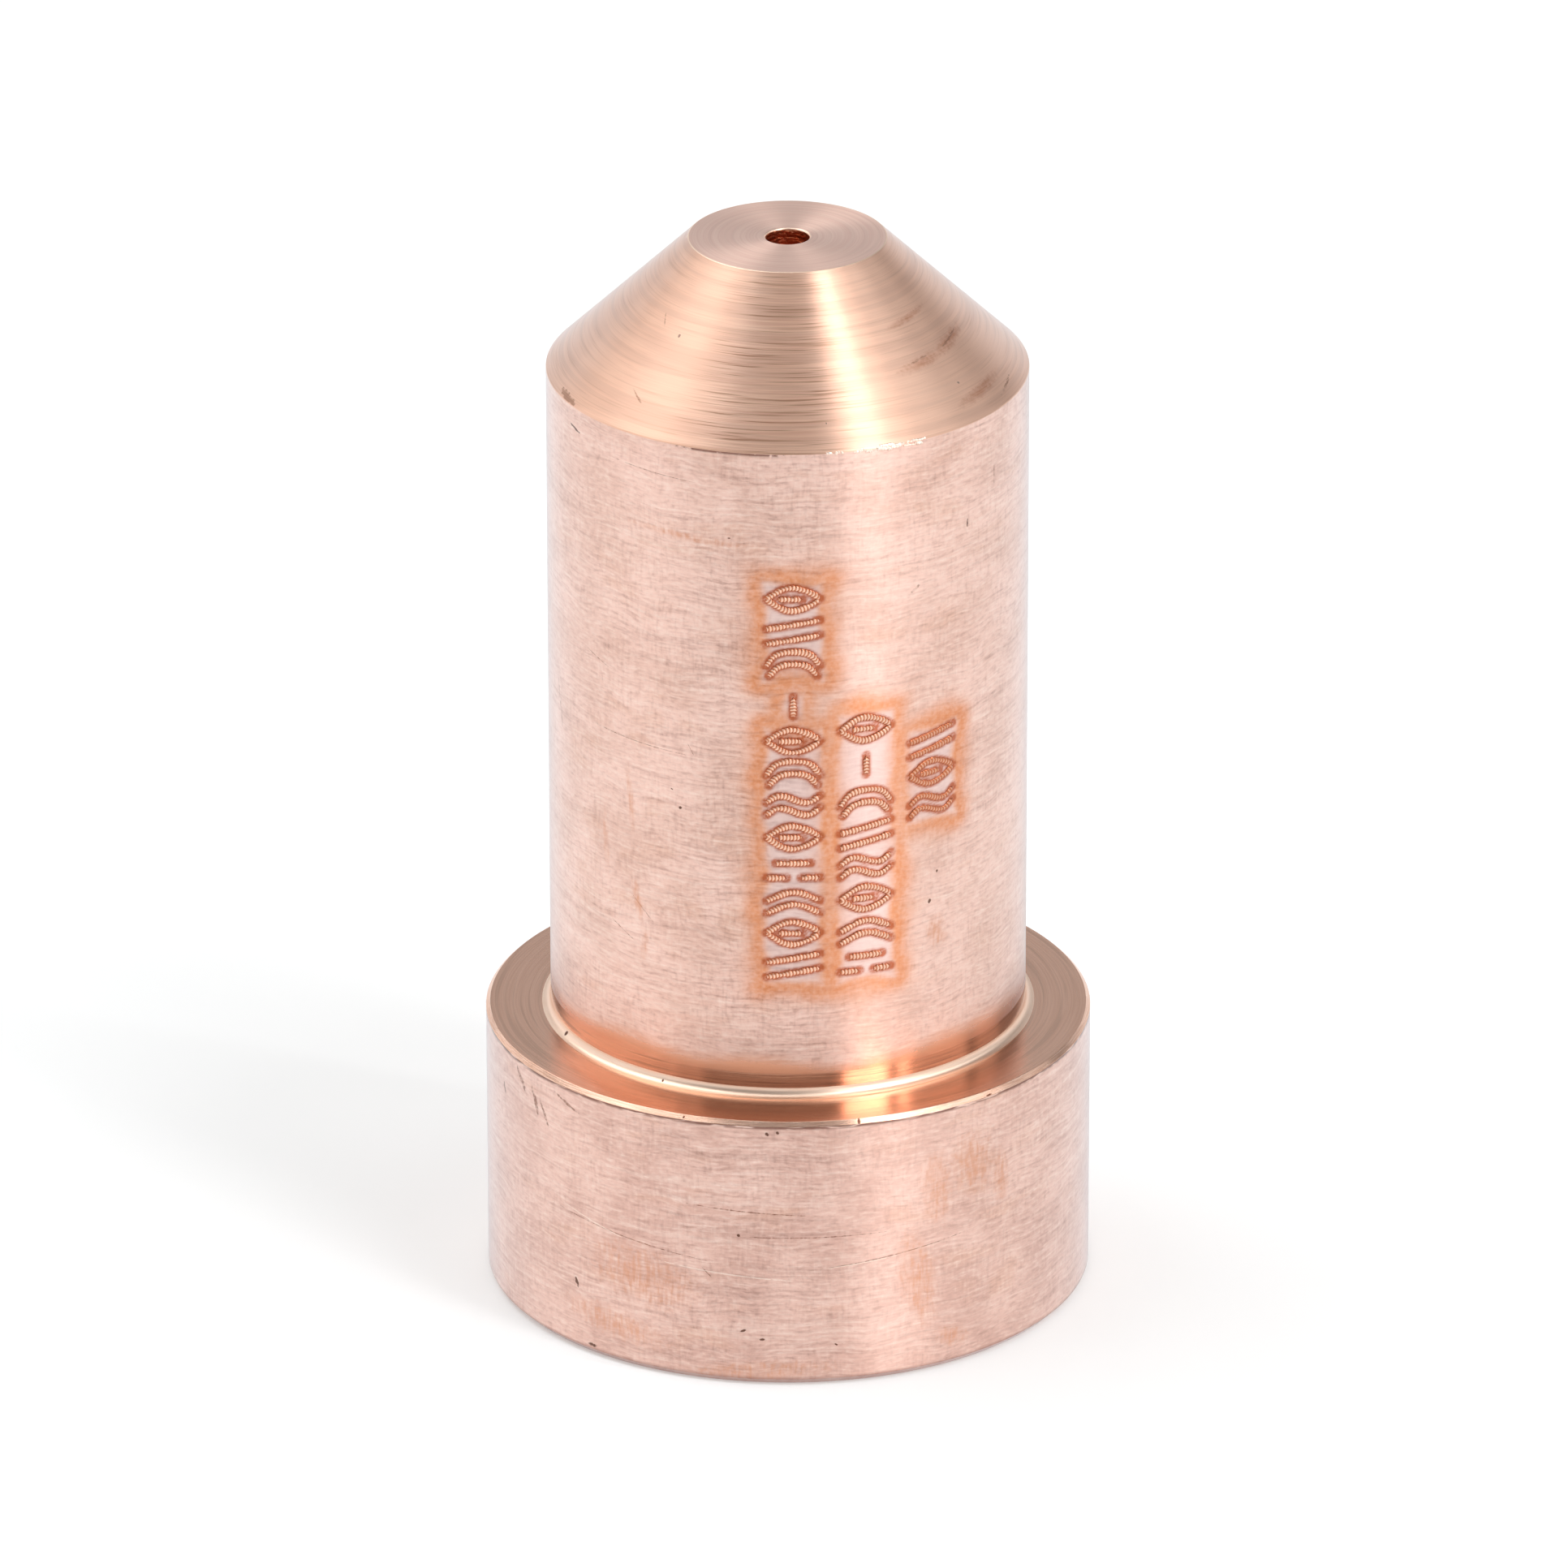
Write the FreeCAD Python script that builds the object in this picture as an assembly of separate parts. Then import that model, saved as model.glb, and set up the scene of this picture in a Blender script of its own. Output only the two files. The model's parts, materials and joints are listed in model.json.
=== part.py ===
import FreeCAD, Part
import math
import os

# Plasma torch nozzle: one piece turned from copper bar, with no other part.
# Millimetres, +Z up. The origin is the centre of the base face, on the turning axis,
# and the nose with the arc orifice points up.

# Outside of the flange, body and nose
total_height = 25.5
flange_diameter = 14.0
flange_height = 6.6
body_diameter = 11.0
nose_height = 3.1
tip_diameter = 4.5

# Arc orifice: the parallel land that the arc leaves through
orifice_diameter = 1.0
orifice_length = 2.2

# Inside: the chamber round the electrode, and the seat that the swirl ring stands in
chamber_wall = 1.5
chamber_cone_half_angle = 45.0
swirl_seat_ledge = 1.0
swirl_seat_depth = 4.5

# Edge breaks and blends
base_chamfer = 0.15
flange_edge_chamfer = 0.1
corner_fillet = 0.2
shoulder_round = 0.05
tip_round = 0.04
orifice_chamfer = 0.03
throat_blend = 0.4
chamber_blend = 1.5
ledge_round = 0.1
swirl_seat_fillet = 0.2
swirl_seat_lead_in = 0.35

# Sizes that follow from those
flange_radius = flange_diameter / 2
body_radius = body_diameter / 2
tip_radius = tip_diameter / 2
orifice_radius = orifice_diameter / 2
chamber_radius = body_radius - chamber_wall
swirl_seat_radius = chamber_radius + swirl_seat_ledge
shoulder_level = total_height - nose_height
throat_level = total_height - orifice_length
chamber_cone_height = (chamber_radius - orifice_radius) / math.tan(math.radians(chamber_cone_half_angle))
chamber_level = throat_level - chamber_cone_height


def corner_ends(before, corner, after, radius):
    """The two tangent points and the middle of the arc that rounds a corner."""
    to_before = (before - corner).normalize()
    to_after = (after - corner).normalize()
    half_angle = to_before.getAngle(to_after) / 2
    setback = radius / math.tan(half_angle)
    inward = (to_before + to_after).normalize()
    middle = corner + inward * (radius / math.sin(half_angle) - radius)
    return corner + to_before * setback, middle, corner + to_after * setback


def section_face(corners):
    """A closed face in the XZ plane from (radius, level, rounding) corners, in order."""
    points = [FreeCAD.Vector(radius, 0, level) for radius, level, rounding in corners]
    edges = []
    starts = []
    ends = []
    for index, (radius, level, rounding) in enumerate(corners):
        point = points[index]
        if rounding == 0:
            starts.append(point)
            ends.append(point)
            continue
        before = points[index - 1]
        after = points[(index + 1) % len(points)]
        first, middle, last = corner_ends(before, point, after, rounding)
        edges.append(Part.Arc(first, middle, last).toShape())
        starts.append(first)
        ends.append(last)
    for index, end in enumerate(ends):
        edges.append(Part.LineSegment(end, starts[(index + 1) % len(starts)]).toShape())
    return Part.Face(Part.Wire(Part.__sortEdges__(edges)))


def outside_corners():
    """Base edge, flange, straight body, conical nose and flat tip, going up."""
    return [
        (flange_radius - base_chamfer, 0, 0),
        (flange_radius, base_chamfer, 0),
        (flange_radius, flange_height - flange_edge_chamfer, 0),
        (flange_radius - flange_edge_chamfer, flange_height, 0),
        (body_radius, flange_height, corner_fillet),
        (body_radius, shoulder_level, shoulder_round),
        (tip_radius, total_height, tip_round),
    ]


def inside_corners():
    """Orifice, converging throat, chamber and swirl ring seat, going down to the base."""
    return [
        (orifice_radius + orifice_chamfer, total_height, 0),
        (orifice_radius, total_height - orifice_chamfer, 0),
        (orifice_radius, throat_level, throat_blend),
        (chamber_radius, chamber_level, chamber_blend),
        (chamber_radius, swirl_seat_depth, ledge_round),
        (swirl_seat_radius, swirl_seat_depth, swirl_seat_fillet),
        (swirl_seat_radius, swirl_seat_lead_in, 0),
        (swirl_seat_radius + swirl_seat_lead_in, 0, 0),
    ]


def make_nozzle():
    """The whole section, turned once round the axis of the orifice."""
    section = section_face(outside_corners() + inside_corners())
    return section.revolve(FreeCAD.Vector(0, 0, 0), FreeCAD.Vector(0, 0, 1), 360)


os.makedirs("parts", exist_ok=True)
nozzle = make_nozzle()
nozzle.exportStep("parts/nozzle.step")

box = nozzle.BoundBox
print("solids", len(nozzle.Solids), "valid", nozzle.isValid(), "volume mm3", round(nozzle.Volume, 3))
print("size mm", round(box.XLength, 3), round(box.YLength, 3), round(box.ZLength, 3))
print("chamber ends at", round(chamber_level, 3), "and the throat at", round(throat_level, 3))
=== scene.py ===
# Plasma torch nozzle: the copper's turned surface, its marks of making and use, and the studio round it.
# The part's sizes are in millimetres and angles in degrees. MM and DEGREE turn them into Blender's units.
import json
import math

import bpy
import numpy as np
from mathutils import Matrix, Vector, kdtree


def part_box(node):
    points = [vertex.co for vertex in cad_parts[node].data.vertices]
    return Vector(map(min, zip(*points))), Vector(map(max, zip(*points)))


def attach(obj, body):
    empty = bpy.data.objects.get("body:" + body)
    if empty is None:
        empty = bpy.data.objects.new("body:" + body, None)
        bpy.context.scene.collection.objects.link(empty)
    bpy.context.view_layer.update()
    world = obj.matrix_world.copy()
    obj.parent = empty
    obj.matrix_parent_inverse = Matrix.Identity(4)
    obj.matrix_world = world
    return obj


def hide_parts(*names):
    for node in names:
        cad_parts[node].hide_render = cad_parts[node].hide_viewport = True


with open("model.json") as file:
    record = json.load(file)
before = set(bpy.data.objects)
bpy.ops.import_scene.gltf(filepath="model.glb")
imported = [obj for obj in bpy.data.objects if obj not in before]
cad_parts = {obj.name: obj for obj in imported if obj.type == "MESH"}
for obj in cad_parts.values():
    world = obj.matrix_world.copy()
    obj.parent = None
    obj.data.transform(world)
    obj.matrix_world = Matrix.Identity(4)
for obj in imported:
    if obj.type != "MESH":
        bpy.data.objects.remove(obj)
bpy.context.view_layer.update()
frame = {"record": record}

NODE = "nozzle"
MM = 0.001
DEGREE = math.pi / 180

# Sizes of the turned part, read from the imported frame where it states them
mounts = {mount["name"]: mount for mount in frame["record"]["mounts"]}
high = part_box(NODE)[1]
TOTAL_HEIGHT = high[2] / MM
FLANGE_RADIUS = high[0] / MM
FLANGE_HEIGHT = mounts["cap_shoulder"]["pos_m"][2] / MM
BODY_RADIUS = mounts["nose_body"]["dims"]["r_mm"]
CHAMBER_RADIUS = mounts["electrode_chamber"]["dims"]["r_mm"]
SEAT_RADIUS = mounts["swirl_ring_seat"]["dims"]["r_mm"]
ORIFICE_RADIUS = mounts["arc_orifice"]["dims"]["r_mm"]
NOSE_HEIGHT = 3.1
TIP_RADIUS = 2.25
ORIFICE_LENGTH = 2.2
SEAT_DEPTH = 4.5
SHOULDER_LEVEL = TOTAL_HEIGHT - NOSE_HEIGHT
THROAT_LEVEL = TOTAL_HEIGHT - ORIFICE_LENGTH
CHAMBER_LEVEL = THROAT_LEVEL - (CHAMBER_RADIUS - ORIFICE_RADIUS)
# Up to this level the body is turned afresh, together with the flange's top
FRESH_LEVEL = 7.15
# What lies farther out than this is the outer side of the body or the flange
OUTER_SIDE = BODY_RADIUS - 0.01

# Edge breaks and blends, as on the solid
BASE_CHAMFER = 0.15
FLANGE_EDGE = 0.1
CORNER_FILLET = 0.2
SHOULDER_ROUND = 0.05
TIP_ROUND = 0.04
ORIFICE_LIP = 0.03
THROAT_BLEND = 0.4
CHAMBER_BLEND = 1.5
LEDGE_ROUND = 0.1
SEAT_FILLET = 0.2
SEAT_LEAD_IN = 0.35

# Mesh of the turned surface: its columns, the step of its arcs and how near its edges rows support them
COLUMNS = 144
COLUMN_STEP = 360 / COLUMNS
ARC_STEP = 18 * DEGREE
FEWEST_ARC_STEPS = 3
SUPPORT = 0.012
GROOVE_DEPTH = 0.0008
GROOVES_SEED = 3

# The finer faces under the marks, and into how many each of the others is split there
MARKED_ANGLES = (-12.5, 52.5)
MARKED_LEVELS = (8.9, 19.9)
SPLITS_ACROSS = 6
SPLITS_ALONG = 12
# Vertices are counted in parts of a face, and both splits divide this number
KEY = 60

# Zones of the turned surface, in the order of the material slots
SKIN, FLANGE, CONE, TIP, LEDGE, FRESH, EDGE, BORE, RIM = range(9)
GROOVED_ZONES = (CONE, TIP, LEDGE)


def rounded_corner(before, corner, after, radius):
    """Points along the arc that rounds a corner of the section."""
    to_before = (before - corner).normalized()
    to_after = (after - corner).normalized()
    half = to_before.angle(to_after) / 2
    centre = corner + (to_before + to_after).normalized() * (radius / math.sin(half))
    start = corner + to_before * (radius / math.tan(half)) - centre
    stop = corner + to_after * (radius / math.tan(half)) - centre
    turn = start.angle_signed(stop)
    steps = max(FEWEST_ARC_STEPS, round(abs(turn) / ARC_STEP))
    points = []
    for step in range(steps + 1):
        angle = -turn * step / steps
        cosine, sine = math.cos(angle), math.sin(angle)
        points.append(centre + Vector((start.x * cosine - start.y * sine, start.x * sine + start.y * cosine)))
    return points


def section_rows():
    """Rows (radius, level, zone of the band that follows) round the whole closed section."""
    # Radius, level, rounding, zone of the band that follows, and how far apart its rows are
    corners = [
        (SEAT_RADIUS + SEAT_LEAD_IN, 0, 0, LEDGE, 0.4),
        (FLANGE_RADIUS - BASE_CHAMFER, 0, 0, FLANGE, 1),
        (FLANGE_RADIUS, BASE_CHAMFER, 0, FLANGE, 0.5),
        (FLANGE_RADIUS, FLANGE_HEIGHT - FLANGE_EDGE, 0, RIM, 1),
        (FLANGE_RADIUS - FLANGE_EDGE, FLANGE_HEIGHT, 0, LEDGE, 0.06),
        (BODY_RADIUS, FLANGE_HEIGHT, CORNER_FILLET, FRESH, 0.5),
        (BODY_RADIUS, FRESH_LEVEL, 0, SKIN, 0.5),
        (BODY_RADIUS, SHOULDER_LEVEL, SHOULDER_ROUND, CONE, 0.06),
        (TIP_RADIUS, TOTAL_HEIGHT, TIP_ROUND, TIP, 0.06),
        (ORIFICE_RADIUS + ORIFICE_LIP, TOTAL_HEIGHT, 0, EDGE, 1),
        (ORIFICE_RADIUS, TOTAL_HEIGHT - ORIFICE_LIP, 0, BORE, 0.2),
        (ORIFICE_RADIUS, THROAT_LEVEL, THROAT_BLEND, BORE, 0.5),
        (CHAMBER_RADIUS, CHAMBER_LEVEL, CHAMBER_BLEND, BORE, 2),
        (CHAMBER_RADIUS, SEAT_DEPTH, LEDGE_ROUND, BORE, 0.4),
        (SEAT_RADIUS, SEAT_DEPTH, SEAT_FILLET, BORE, 1),
        (SEAT_RADIUS, SEAT_LEAD_IN, 0, BORE, 1),
    ]
    points = [Vector(corner[:2]) for corner in corners]
    rows = []
    for index, (_, _, rounding, zone, spacing) in enumerate(corners):
        before, point, after = points[index - 1], points[index], points[(index + 1) % len(points)]
        arc = rounded_corner(before, point, after, rounding) if rounding else [point]
        arc_zone = EDGE if zone in (FRESH, TIP) else zone
        rows += [(p.x, p.y, arc_zone) for p in arc[:-1]] + [(arc[-1].x, arc[-1].y, zone)]
        following = corners[(index + 1) % len(corners)]
        start = arc[-1]
        stop = after
        if following[2]:
            stop = rounded_corner(point, after, points[(index + 2) % len(points)], following[2])[0]
        length = (stop - start).length
        if length < 4 * SUPPORT:
            continue
        inner = length - 2 * SUPPORT
        count = max(1, round(inner / spacing))
        for step in range(count + 1):
            share = (SUPPORT + inner * step / count) / length
            place = start.lerp(stop, share)
            rows.append((place.x, place.y, zone))
    return rows


def nearest_row(rows, zone, level):
    """The index of the row of a zone's outer side that lies nearest a level."""
    best = None
    for index, (radius, height, row_zone) in enumerate(rows):
        if row_zone == zone and radius > OUTER_SIDE:
            if best is None or abs(height - level) < abs(rows[best][1] - level):
                best = index
    return best


class Window:
    """A patch of the turned surface with finer columns and rows."""

    def __init__(self, first_angle, last_angle, first_row, last_row, across, along):
        self.first_column = round(first_angle / COLUMN_STEP)
        self.last_column = round(last_angle / COLUMN_STEP)
        self.first_row = first_row
        self.last_row = last_row
        self.across = across
        self.along = along

    def holds(self, row, column):
        turned = (column - self.first_column) % COLUMNS
        return turned < self.last_column - self.first_column and self.first_row <= row < self.last_row


def surface_mesh(rows, windows):
    """The closed turned surface. Angle 0 faces the front, and grows to the right."""
    count = len(rows)
    owner = {}
    split_across = {}
    split_along = {}
    for row in range(count):
        for column in range(COLUMNS):
            for window in windows:
                if window.holds(row, column):
                    owner[row, column] = window
                    split_across[row, column] = split_across[(row + 1) % count, column] = window.across
                    split_along[row, column] = split_along[row, (column + 1) % COLUMNS] = window.along
    numbers = {}
    faces = []
    zones = []

    def vertex(row_key, column_key):
        key = (row_key % (count * KEY), column_key % (COLUMNS * KEY))
        return numbers.setdefault(key, len(numbers))

    def side(row, column, rising):
        parts = (split_along if rising else split_across).get((row % count, column % COLUMNS), 1)
        keys = []
        for part in range(parts):
            share = part * KEY // parts
            keys.append((row * KEY + (share if rising else 0), column * KEY + (0 if rising else share)))
        return keys

    for row in range(count):
        zone = rows[row][2]
        for column in range(COLUMNS):
            window = owner.get((row, column))
            if window is None:
                lower = side(row, column, False)
                right = side(row, column + 1, True)
                upper = side(row + 1, column, False) + [((row + 1) * KEY, (column + 1) * KEY)]
                left = side(row, column, True) + [((row + 1) * KEY, column * KEY)]
                loop = lower + right + upper[:0:-1] + left[:0:-1]
                faces.append([vertex(*key) for key in loop])
                zones.append(zone)
                continue
            wide = KEY // window.across
            tall = KEY // window.along
            for i in range(window.along):
                for j in range(window.across):
                    y = row * KEY + i * tall
                    x = column * KEY + j * wide
                    corners = ((y, x), (y, x + wide), (y + tall, x + wide), (y + tall, x))
                    faces.append([vertex(*corner) for corner in corners])
                    zones.append(zone)
    keys = np.array(list(numbers.keys()), dtype=float)
    place = keys[:, 0] / KEY
    below = np.floor(place).astype(int)
    share = place - below
    section = np.array([row[:2] for row in rows])
    after = (below + 1) % count
    radius = section[below, 0] * (1 - share) + section[after, 0] * share
    level = section[below, 1] * (1 - share) + section[after, 1] * share
    slope = section[after] - section[below - 1]
    slope /= np.hypot(slope[:, 0], slope[:, 1])[:, None]
    angle = keys[:, 1] / KEY * COLUMN_STEP * DEGREE
    angle = (angle + math.pi) % (2 * math.pi) - math.pi
    return below, faces, zones, angle, radius, level, slope


def point_attribute(mesh, name, values):
    made = mesh.attributes.new(name, "FLOAT", "POINT")
    made.data.foreach_set("value", np.asarray(values, dtype=np.float32))


def add_object(name, data):
    """A new object of that data, linked to the scene."""
    made = bpy.data.objects.new(name, data)
    bpy.context.scene.collection.objects.link(made)
    return made


def smooth_object(name, mesh):
    mesh.polygons.foreach_set("use_smooth", [True] * len(mesh.polygons))
    mesh.update()
    print(name, len(mesh.polygons), "faces")
    return add_object(name, mesh)


# Burnt marks on the body. They are plain pattern, with no lettering: arcs, leaves, feathers, waves, hatches,
# bricks and dashes. A motif's strokes lie in its cell: along the row from 0 to 1, and across it from -1 to 1.
MOTIFS = {
    "arcs": (
        ((0.0, -0.9), (0.5, -0.5), (0.5, 0.5), (0.0, 0.9)),
        ((0.4, -1), (1.0, -0.6), (1.0, 0.6), (0.4, 1)),
    ),
    "leaf": (
        ((0.5, -1), (1.05, -0.2), (0.8, 0.6), (0.5, 1)),
        ((0.5, -1), (-0.05, -0.2), (0.2, 0.6), (0.5, 1)),
        ((0.5, -0.55), (0.5, 0.35)),
    ),
    "feather": (((0.0, -1), (0.5, 0), (0.0, 1)), ((0.5, -1), (1.0, 0), (0.5, 1))),
    "waves": (
        ((0.1, -1), (0.5, -0.5), (0.0, 0.5), (0.4, 1)),
        ((0.6, -1), (1.0, -0.5), (0.5, 0.5), (0.9, 1)),
    ),
    "hatch": (((0.0, -1), (0.35, 1)), ((0.6, -1), (0.95, 1))),
    "brick": (((0.15, -1), (0.15, -0.25)), ((0.15, 0.3), (0.15, 1)), ((0.75, -0.65), (0.75, 0.65))),
    "dash": (((0.1, 0), (0.9, 0)),),
}
# Half the width of a row, and the share of a cell's length that its motif takes
MARK_REACH = 0.61
MOTIF_SHARE = 0.76
# Middle round the body, lowest level, cell length, strength, motifs from the bottom up
MARK_ROWS = (
    (0.12, 9.48, 0.79, 1.0, ("hatch", "leaf", "feather", "brick", "leaf", "waves", "arcs", "leaf")),
    (0.12, 15.86, 0.785, 1.0, ("dash",)),
    (0.12, 16.90, 0.79, 1.0, ("arcs", "hatch", "leaf")),
    (1.80, 9.45, 0.79, 1.0, ("brick", "feather", "leaf", "waves", "hatch", "arcs")),
    (1.80, 14.33, 0.75, 1.0, ("dash",)),
    (1.80, 15.20, 0.80, 1.0, ("leaf",)),
    (3.50, 13.05, 0.77, 0.7, ("waves", "leaf", "hatch")),
)
# Where the heat has stained the body: first and last place round it, first and last level
BURNT_PATCHES = (
    (-0.56, 0.80, 9.40, 15.72),
    (-0.10, 0.40, 15.7, 16.9),
    (-0.56, 0.80, 16.85, 19.28),
    (1.11, 2.49, 9.35, 16.0),
    (2.81, 4.20, 13.0, 15.35),
)
# How the brown border of a patch, its pale inside and the dark outline of its strokes fade, in millimetres
BORDER_MIDDLE = 0.08
BORDER_OUTWARDS = 0.36
BORDER_INWARDS = 0.17
PALE_FADE = 0.15
OUTLINE_FADE = 0.036
# Into how many parts each length of a stroke is split to find the nearest place on it
STROKE_SPLITS = 6
MARKS_SEED = 11

# Beads: the strokes and burrs are drawn with them
BEAD_HALF_WIDTH = 0.085
BEAD_HEIGHT = 0.05
BEAD_SINK = 0.02
BEAD_SIDES = 7
FEWEST_BEAD_STEPS = 8
CORNER_CUTS = 3
RIPPLE_PITCH = 0.078
RIPPLE_STEPS = 4
# How a bead's width and height vary along it, and at how many places
UNEVEN_SHARES = (0.75, 1.2)
UNEVEN_PLACES = 12
# Half the stretch over which a bead's direction is taken
NUDGE = 0.01

# Burrs along the shoulder, in millimetres round it from the front, and the flake on the tip's left edge
BURR_COUNT = 34
BURRS_SEED = 5
BURRS_START = 0.7
BURRS_REACH = 2.5
BURR_LENGTHS = (0.08, 0.42)
BURR_LEVELS = (-0.05, 0.03)
BURR_WOBBLE = 0.02
BURR_SIZES = (0.02, 0.05)
BURR_SINK = 0.02
# Degrees above level at which burrs stand out of the shoulder and of the tip's edge
SHOULDER_TILT = 23
NOSE_TILT = 46
FLAKE_LINE = ((-3.72, -0.02), (-3.66, 0.03), (-3.58, 0.0))
FLAKE_HALF_WIDTH = 0.035
FLAKE_HEIGHT = 0.03
FLAKE_OUT = 0.03
FLAKE_DOWN = 0.06


def smooth_line(points):
    """Corner cutting that keeps both ends."""
    for _ in range(CORNER_CUTS):
        cut = [points[0]]
        for first, second in zip(points, points[1:]):
            cut += [first * 0.75 + second * 0.25, first * 0.25 + second * 0.75]
        points = cut + [points[-1]]
    return points


def mark_strokes():
    """Every stroke of the marks: its points round and up the body, and its strength."""
    strokes = []
    for middle, lowest, cell, strength, motifs in MARK_ROWS:
        for index, motif in enumerate(motifs):
            for stroke in MOTIFS[motif]:
                points = []
                for along, across in stroke:
                    level = lowest + (index + 0.5 + MOTIF_SHARE * (along - 0.5)) * cell
                    points.append(np.array((middle + across * MARK_REACH, level)))
                strokes.append((np.array(smooth_line(points)), strength))
    return strokes


def bead(points, strength, half_width, height, chance):
    """A rippled raised stroke: its points (across the face, up it, out of it), faces and crest values."""
    run = np.concatenate([[0], np.cumsum(np.hypot(*np.diff(points, axis=0).T))])

    def line_at(distance):
        return np.stack([np.interp(distance, run, points[:, axis]) for axis in (0, 1)], axis=-1)

    count = max(FEWEST_BEAD_STEPS, round(run[-1] / RIPPLE_PITCH * RIPPLE_STEPS))
    at = np.linspace(0, run[-1], count + 1)[:, None]
    across = -np.cos(np.linspace(0, math.pi, BEAD_SIDES))[None, :]
    # The ends are round, and the ripples bow, with their sides behind their middles
    reach = np.clip(np.minimum(at, run[-1] - at) / half_width, 0.02, 1)
    swell = np.sqrt(1 - (1 - reach) ** 2)
    lag = np.clip(at - 0.5 * half_width * across ** 2, 0, run[-1])
    place = line_at(lag)
    ahead = line_at(lag + NUDGE) - line_at(lag - NUDGE)
    ahead /= np.linalg.norm(ahead, axis=-1, keepdims=True)
    shares = chance.uniform(*UNEVEN_SHARES, UNEVEN_PLACES)
    uneven = np.interp(at, np.linspace(0, run[-1], UNEVEN_PLACES), shares)
    wave = 0.5 + 0.5 * np.cos(2 * math.pi * at / RIPPLE_PITCH + chance.uniform(0, 6))
    side = across * half_width * swell * (0.9 + 0.1 * wave) * uneven
    dome = np.sqrt(np.clip(1 - across ** 2, 0, 1))
    out = height * strength * uneven * swell * dome * (0.6 + 0.4 * wave)
    out = np.where(dome < 0.01, -BEAD_SINK, out)
    crest = dome * (0.3 + 0.7 * wave) * strength * swell
    round_it = place[..., 0] - ahead[..., 1] * side
    up_it = place[..., 1] + ahead[..., 0] * side
    grid = np.stack([round_it, up_it, out], axis=-1)
    faces = []
    for row in range(count):
        for column in range(BEAD_SIDES):
            first = row * BEAD_SIDES + column
            second = row * BEAD_SIDES + (column + 1) % BEAD_SIDES
            faces.append((first, second, second + BEAD_SIDES, first + BEAD_SIDES))
    faces.append(tuple(range(BEAD_SIDES))[::-1])
    faces.append(tuple(count * BEAD_SIDES + column for column in range(BEAD_SIDES)))
    return grid.reshape(-1, 3), faces, crest.reshape(-1)


def detail_piece(name, beads, to_space, material):
    """One object from many beads, set on the part by to_space."""
    places = []
    faces = []
    start = 0
    for grid, bead_faces, _ in beads:
        places.append(to_space(*grid.T))
        faces += [tuple(start + number for number in face) for face in bead_faces]
        start += len(grid)
    mesh = bpy.data.meshes.new(name)
    mesh.from_pydata((np.concatenate(places) * MM).tolist(), [], faces)
    point_attribute(mesh, "crest", np.concatenate([crest for _, _, crest in beads]))
    mesh.materials.append(material)
    piece = smooth_object(name, mesh)
    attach(piece, "root")


def on_turned(middle_radius, middle_level, tilt):
    """A way from places round a turned face, and up and out of it, to points: tilt is where out points."""
    cosine, sine = math.cos(tilt * DEGREE), math.sin(tilt * DEGREE)

    def to_space(around, up, out):
        angle = around / middle_radius
        radius = middle_radius + out * cosine - up * sine
        level = middle_level + out * sine + up * cosine
        return np.stack([radius * np.sin(angle), -radius * np.cos(angle), level], axis=1)

    return to_space


def make_marks():
    """The raised strokes of the burnt marks."""
    chance = np.random.default_rng(MARKS_SEED)
    beads = []
    for points, strength in mark_strokes():
        beads.append(bead(points, strength, BEAD_HALF_WIDTH, BEAD_HEIGHT, chance))
    detail_piece("nozzle_marks", beads, on_turned(BODY_RADIUS, 0, 0), bead_material())


def make_burrs():
    """Flakes that the tool has left along the front right of the shoulder, and one on the tip's left edge."""
    chance = np.random.default_rng(BURRS_SEED)
    beads = []
    for _ in range(BURR_COUNT):
        start = BURRS_START + BURRS_REACH * chance.beta(1.6, 1.3)
        length = chance.uniform(*BURR_LENGTHS)
        up = chance.uniform(*BURR_LEVELS)
        points = []
        for share in (0, 0.35, 0.7, 1):
            points.append((start + length * share, up + chance.uniform(-BURR_WOBBLE, BURR_WOBBLE)))
        half_width = chance.uniform(*BURR_SIZES)
        height = chance.uniform(*BURR_SIZES)
        beads.append(bead(np.array(points), 1.0, half_width, height, chance))
    flake = [bead(np.array(FLAKE_LINE), 1.0, FLAKE_HALF_WIDTH, FLAKE_HEIGHT, chance)]
    shoulder = on_turned(BODY_RADIUS - BURR_SINK, SHOULDER_LEVEL - BURR_SINK, SHOULDER_TILT)
    tip_edge = on_turned(TIP_RADIUS + FLAKE_OUT, TOTAL_HEIGHT - FLAKE_DOWN, NOSE_TILT)
    material = burr_material()
    detail_piece("nozzle_burrs", beads, shoulder, material)
    detail_piece("nozzle_tip_burr", flake, tip_edge, material)


def outline_tree():
    """Places along all the strokes, close together, for finding the nearest."""
    places = []
    for points, _ in mark_strokes():
        for first, second in zip(points, points[1:]):
            places += [first + (second - first) * share / STROKE_SPLITS for share in range(STROKE_SPLITS)]
    tree = kdtree.KDTree(len(places))
    for number, (around, level) in enumerate(places):
        tree.insert((around, level, 0), number)
    tree.balance()
    return tree


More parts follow.
